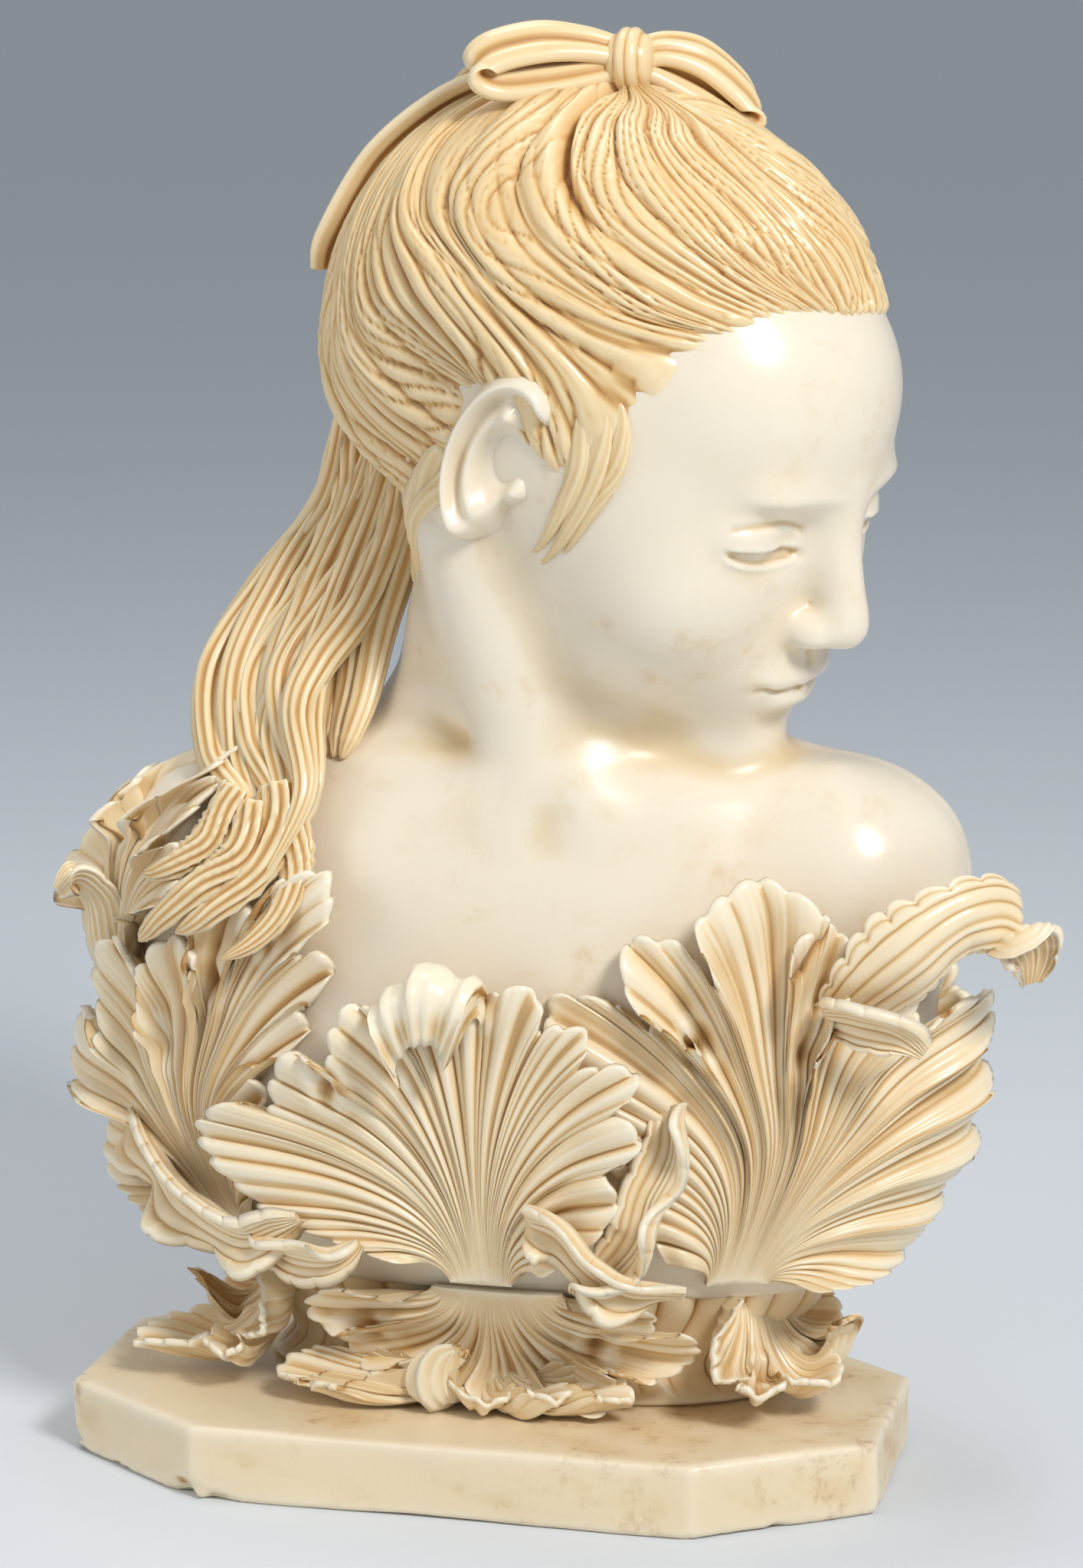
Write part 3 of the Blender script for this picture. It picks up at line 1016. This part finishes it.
curledEdges = {
    "leaf_curl_right": [
        {"side": (-0.45, -0.5, 0.74), "ruffle": 3, "ruffleEvery": 9, "fluteShare": 5, "scallop": 0.2,
         "seed": 2, "course": [
            (118, -22, 158, 9, -30), (132, -32, 172, 17, -50), (148, -34, 186, 20, -60),
            (163, -26, 197, 18, -66), (174, -14, 197, 15, -66), (180, -6, 186, 12, -60),
            (180, -2, 173, 4, -20)]},
        {"side": (0.2, -0.5, 0.85), "ruffle": 2, "fluteShare": 6, "seed": 3, "course": [
            (118, -34, 166, 6, 30), (130, -40, 166, 10, 40), (144, -42, 164, 9, 50),
            (152, -40, 158, 3, 20)]}],
    "leaf_tip_left": [
        {"side": (0.9, -0.4, 0.1), "ruffle": 2, "fluteShare": 5, "seed": 6, "course": [
            (-126, 4, 146, 11, 30), (-134, 0, 168, 12, 30), (-137, -2, 184, 11, 30),
            (-144, -4, 192, 8, 20), (-150, -4, 186, 3, 10)]}],
    "leaf_ruffle_left": [
        {"side": (0.1, -0.35, 0.9), "ruffle": 6, "ruffleEvery": 5.5, "free": -1, "fluteShare": 6,
         "seed": 7, "course": [
            (-128, -2, 108, 8, 30), (-112, -20, 98, 14, 60), (-92, -36, 86, 14, 75),
            (-74, -44, 82, 11, 70), (-60, -50, 88, 8, 40), (-52, -52, 92, 3, 20)]},
        {"side": (-0.1, -0.4, 0.9), "ruffle": 4, "free": 1, "ruffleEvery": 5, "fluteShare": 7,
         "seed": 8, "course": [
            (-70, -40, 80, 6, 60), (-54, -50, 78, 9, 80), (-40, -54, 80, 8, 80),
            (-32, -52, 86, 3, 40)]}],
    "leaf_ruffle_right": [
        {"side": (0.8, -0.4, 0.3), "ruffle": 6, "ruffleEvery": 5, "free": 1, "fluteShare": 6,
         "seed": 11, "course": [
            (70, -44, 136, 7, 40), (72, -50, 122, 11, 70), (66, -53, 106, 12, 80),
            (62, -53, 92, 12, 80), (52, -54, 80, 10, 70), (42, -52, 74, 4, 30)]},
        {"side": (0.5, -0.4, 0.7), "ruffle": 5, "ruffleEvery": 5, "free": -1, "fluteShare": 7,
         "seed": 12, "course": [
            (24, -51, 96, 6, 60), (36, -56, 94, 10, 90), (46, -57, 84, 11, 90), (60, -54, 76, 10, 80),
            (76, -48, 74, 4, 40)]}]}
for name, bands in curledEdges.items():
    piece = joinParts(name.replace("leaf_", "edge_"), [leafBand(band) for band in bands])
    finishPiece(piece, leafMarble, [name], gain=0.5)
print("curled edges")

socle = {"columns": 560, "rows": 64, "gadroonWidth": 13, "gadroonDepth": 3.4, "radius": 72}
socleStations = [(10, 19, 92, 44), (10, 19, 84, 39), (10, 18, 90, 40), (10, 17, 100, 43.5),
                 (10, 16, 104, 45)]
low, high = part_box("socle")
socleFoot, socleTop = low[2] / mm, high[2] / mm
a = np.linspace(0, 2 * pi, socle["columns"], endpoint=False)
share = np.concatenate([[0, 0.008], np.linspace(0.02, 0.98, socle["rows"]), [0.992, 1]])
size = along(socleStations, share)
grow = 1 - 0.012 * (np.abs(share - 0.5) > 0.49)
_, gadroon = lockPlaces(a * socle["radius"], 2 * pi * socle["radius"], socle["gadroonWidth"], 51)
depth = socle["gadroonDepth"] * (smooth(share, 0.04, 0.2) * (1 - smooth(share, 0.9, 1)))[:, None]
relief = depth * (rounded(gadroon)[None] - 0.8) + 0.5 * waves(a[None] * 8, share[:, None] * 5, 3)
reachX, reachY = (size[:, 2] * grow)[:, None] + relief, (size[:, 3] * grow)[:, None] + relief
ring = np.stack([size[:, 0:1] + reachX * np.sin(a), size[:, 1:2] - reachY * np.cos(a),
                 mix(socleFoot, socleTop, share)[:, None] + 0 * reachX], -1)
piece = outward(makePiece("socleBlock", ring.reshape(-1, 3), tubeFaces(len(share), len(a))))
finishPiece(piece, leafMarble, ["socle"], gain=0.5)
print("socle")


def onSocle(x, y, out):  # y runs down from the seam
    share = np.clip(1 - y / (socleTop - socleFoot), 0, 1)
    size = along(socleStations, share)
    angle = x / 78
    return np.stack([size[..., 0] + (size[..., 2] + out) * np.sin(angle),
                     size[..., 1] - (size[..., 3] + out) * np.cos(angle),
                     socleTop - y + 0 * out], -1)


def overPlinth(foot, heading, profile):  # a leaf that falls down the socle and spreads over the plinth
    c, d = cos(radians(heading)), sin(radians(heading))
    length = sum(np.hypot(*np.subtract(b, a)) for a, b in zip(profile, profile[1:]))

    def place(x, y, out):
        t = np.clip(y / length, 0, 1)
        here, ahead = along(profile, t), along(profile, np.clip(t + 0.02, 0, 1))
        behind = along(profile, np.clip(t - 0.02, 0, 1))
        slope = unit(ahead - behind)
        forward = here[..., 0] - slope[..., 1] * out + np.maximum(y - length, 0)
        height = here[..., 1] + slope[..., 0] * out
        return np.stack([foot[0] + forward * d + x * c, foot[1] - forward * c + x * d,
                         np.maximum(height, plinthTop + 0.4)], -1)
    return place


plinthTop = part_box("plinth")[1][2] * 1000
flat = [(0, plinthTop + 10), (14, plinthTop + 4), (30, plinthTop + 3), (60, plinthTop + 3)]
fall = [(0, 64), (3, 54), (8, 42), (18, plinthTop + 7), (34, plinthTop + 4), (60, plinthTop + 4)]
sideLeaf = {"stem": ((-12, 0), (12, 0)), "start": (-16, 4), "out": 3, "thickness": 4, "lean": 3, "curl": 5}
smallLeaves = {
    "socle_leaf_front": ({"stem": ((-16, 1), (16, 1)), "start": (-20, 4), "out": 6, "thickness": 4.5,
                          "lean": 4, "curl": 6, "seed": 61, "eyes": [(-34, 18, 2.6), (26, 20, 2.6)],
                          "lobes": [
        lobe((-46, 12), (-34, 16), wide=0.3, lift=3), lobe((-42, 30), (-26, 28), wide=0.3),
        lobe((-18, 38), (-8, 34), wide=0.3), lobe((6, 41), (14, 34), wide=0.3),
        lobe((30, 38), (26, 24), wide=0.3, lift=3, tilt=2), lobe((52, 22), (30, 12), wide=0.26, lift=4),
        lobe((38, 6), (18, 3), wide=0.24)]}, onSocle),
    "plinth_leaf_front": ({"stem": ((-16, 0), (16, 0)), "start": (-24, 4), "out": 2, "thickness": 3.5,
                           "seed": 71, "eyes": [], "lean": 1, "curl": 3, "lobes": [
        lobe((-66, 14), (-46, 18), wide=0.3), lobe((-52, 28), (-32, 26), wide=0.3),
        lobe((-18, 34), (-4, 28), wide=0.5, lift=2, roll={"from": 0.62, "radius": 4.5, "degrees": 190,
                                                          "length": 22}),
        lobe((10, 36), (18, 28), wide=0.3), lobe((34, 34), (36, 22), wide=0.3, lift=2),
        lobe((58, 20), (28, 5), wide=0.3, lift=2)]}, overPlinth((0, -24), 0, flat)),
    "plinth_leaf_left": ({**sideLeaf, "seed": 81, "eyes": [(-10, 40, 2.6), (12, 44, 2.6)], "lobes": [
        lobe((-36, 34), (-24, 38), wide=0.3, lift=1),
        lobe((-32, 60), (-14, 54), wide=0.4, lift=3, roll={"from": 0.66, "radius": 5, "degrees": 160,
                                                           "length": 17}),
        lobe((0, 76), (12, 58), wide=0.4, lift=1), lobe((30, 60), (24, 42), wide=0.3, lift=2),
        lobe((34, 32), (16, 8), wide=0.3, lift=2)]}, overPlinth((-70, -2), -62, fall)),
    "plinth_leaf_right": ({**sideLeaf, "seed": 91, "eyes": [(-10, 40, 2.6), (14, 42, 2.6)], "lobes": [
        lobe((-36, 38), (-22, 40), wide=0.3, lift=1), lobe((-28, 60), (-12, 50), wide=0.35, lift=1),
        lobe((2, 66), (14, 52), wide=0.4, lift=1),
        lobe((34, 58), (26, 42), wide=0.5, lift=2, roll={"from": 0.64, "radius": 7, "degrees": 200,
                                                         "length": 28}),
        lobe((32, 28), (16, 8), wide=0.3, lift=1)]}, overPlinth((88, -2), 60, fall))}
smallStyle = {"spacing": 0.8, "fluteWidth": 7, "fluteDepth": 2, "threadWidth": 2.6, "serration": 3}
for name, (leaf, place) in smallLeaves.items():
    piece = leafPiece(name.replace("leaf", "acanthus"), {**leaf, **smallStyle}, place)
    finishPiece(piece, leafMarble, [name], gain=0.5)
print("small leaves")

slab = {"frontEdge": 168, "sideEdge": 70, "cornerRun": 54, "cornerDepth": 38, "bevel": 1.5, "grid": 1.5}
chips = [(-139, -33, 1, 7), (-137, -20, 0, 4), (-118, -50, -1, 5), (-88, -72, 0, 8), (-76, -76, -2, 7),
         (-40, -76, -3, 5), (22, -77, -2, 5), (84, -75, -1, 4), (112, -56, -2, 5), (139, -30, 0, 4),
         (139, -12, 26, 3.5), (-84, -75, 26, 3), (60, 76, 0, 7), (-100, 62, 1, 6)]
bpy.ops.object.select_all(action="DESELECT")
bpy.ops.mesh.primitive_cylinder_add(vertices=8, radius=0.1, depth=0.02, location=(0, 0, 0))
plinth = bpy.context.object
plinth.name = "plinthSlab"
edgeX, edgeY = slab["frontEdge"] / 2, slab["sideEdge"] / 2
halfX, halfY = edgeX + slab["cornerRun"], edgeY + slab["cornerDepth"]
corners = [(edgeX, halfY), (halfX, edgeY), (halfX, -edgeY), (edgeX, -halfY),
           (-edgeX, -halfY), (-halfX, -edgeY), (-halfX, edgeY), (-edgeX, halfY)]
for v in plinth.data.vertices:
    x, y = corners[round(np.arctan2(v.co.x, v.co.y) / (pi / 4)) % 8]
    v.co = origin + np.array([x, y, plinthTop if v.co.z > 0 else 0]) * mm
bpy.ops.object.mode_set(mode="EDIT")
bpy.ops.mesh.select_all(action="SELECT")
bpy.ops.mesh.normals_make_consistent(inside=False)
bpy.ops.mesh.bevel(offset=slab["bevel"] * mm, segments=2, affect="EDGES")
bpy.ops.object.mode_set(mode="OBJECT")
remesh = plinth.modifiers.new("even grid", "REMESH")
remesh.mode = "VOXEL"
remesh.voxel_size = slab["grid"] * mm
bpy.ops.object.modifier_apply(modifier=remesh.name)
points, normals = readPoints(plinth), readNormals(plinth)
points = relaxed(points, readEdges(plinth), 1)
wear = 0.5 * waves(points[:, 0] * 0.05, points[:, 1] * 0.05 + points[:, 2] * 0.08, 31) + 0.2
points -= normals * wear[:, None]
for x, y, z, r in chips:
    d = np.linalg.norm((points - (x, y, z)) * (0.6, 1, 1), axis=1)
    dent = np.maximum(r - d, 0) * (0.75 + 0.35 * waves(points[:, 0] * 0.5, points[:, 2] * 0.5, 77))
    points -= normals * dent[:, None] * 0.7
points[:, 2] = np.clip(points[:, 2], 0, plinthTop)
writePoints(plinth, points)
print("plinth", len(plinth.data.polygons), "faces")
finishPiece(plinth, plinthMarble, ["plinth"], gain=0.8)


# cast plaster-and-lime setting compound: dull, sandy, a little darker than the stone
def makeCompound():
    material, tree, place = startMaterial("limeSettingCompound")
    sand = addNoise(tree, place, 0.8, 4.0)
    colour = twoTones(tree, sand, "#8D7350", "#B59B74")
    closeMaterial(tree, sand, 0.4, 0.0004, {"Roughness": 0.85}, {"Base Color": colour})
    return material


# bare steel, dull: grey metal with fine bands round the rod
def makeSteel():
    material, tree, place = startMaterial("dullBareSteel")
    cloud = addNoise(tree, place, 3, 4.0)
    thread = addNode(tree, "ShaderNodeTexWave", {"bands_direction": "Z", "Scale": 1000 / 1.5 / 20},
                     {"Vector": place}).outputs["Fac"]
    colour = twoTones(tree, cloud, "#8E9296", "#B9BDC0")
    rough = addNode(tree, "ShaderNodeMapRange", {"To Min": 0.28, "To Max": 0.5},
                    {"Value": cloud}).outputs["Result"]
    closeMaterial(tree, thread, 0.3, 0.0005, {"Metallic": 1.0},
                  {"Base Color": colour, "Roughness": rough})
    return material


compound, steel = makeCompound(), makeSteel()
for name, material in (("joint_bed", compound), ("rod_grout", compound), ("threaded_rod", steel),
                       ("washer", steel), ("hex_nut", steel)):
    node = bpy.data.objects[name]
    node.data.materials.clear()
    node.data.materials.append(material)
print("fixings")

view = {"azimuth": 13.6, "elevation": 11.2, "distance": 1.5, "target": (17, 0, 230.6), "lens": 104.5}
target = Vector(origin + np.array(view["target"]) * mm)
az, el = radians(view["azimuth"]), radians(view["elevation"])
back = Vector((sin(az) * cos(el), -cos(az) * cos(el), sin(el)))
cameraData = bpy.data.cameras.new("camera")
cameraData.lens = view["lens"]
camera = bpy.data.objects.new("camera", cameraData)
camera.location = target + back * view["distance"]
camera.rotation_euler = (-back).to_track_quat("-Z", "Y").to_euler()
bpy.context.scene.collection.objects.link(camera)
bpy.context.scene.camera = camera

bpy.ops.mesh.primitive_plane_add(size=80, location=(0, 0, 0))
floor = bpy.context.object
floor.name = "floor"
floorPaint = bpy.data.materials.new("paleFloor")
floorPaint.use_nodes = True
floorPaint.node_tree.nodes["Principled BSDF"].inputs["Base Color"].default_value = linear("#DCE0E4")
floorPaint.node_tree.nodes["Principled BSDF"].inputs["Roughness"].default_value = 0.8
floor.data.materials.append(floorPaint)

# soft boxes: place from the middle of the bust, size in metres, power in watts
lamps = {"key": ((1.05, -1.0, 1.15), 0.45, 24), "fill": ((-1.5, -1.1, 0.7), 1.2, 8),
         "top": ((-0.3, 0.3, 1.7), 0.7, 8)}
for name, (spot, size, power) in lamps.items():
    lampData = bpy.data.lights.new(name, "AREA")
    lampData.size, lampData.energy = size, power
    lamp = bpy.data.objects.new(name, lampData)
    lamp.location = target + Vector(spot)
    lamp.rotation_euler = (-Vector(spot)).to_track_quat("-Z", "Y").to_euler()
    bpy.context.scene.collection.objects.link(lamp)
world = bpy.data.worlds.new("studio")
world.use_nodes = True
world.node_tree.nodes["Background"].inputs["Color"].default_value = linear("#DDE4EC")
world.node_tree.nodes["Background"].inputs["Strength"].default_value = 0.45
bpy.context.scene.world = world
bpy.context.scene.view_settings.view_transform = "Standard"  # pale marble keeps its warmth

print("done")
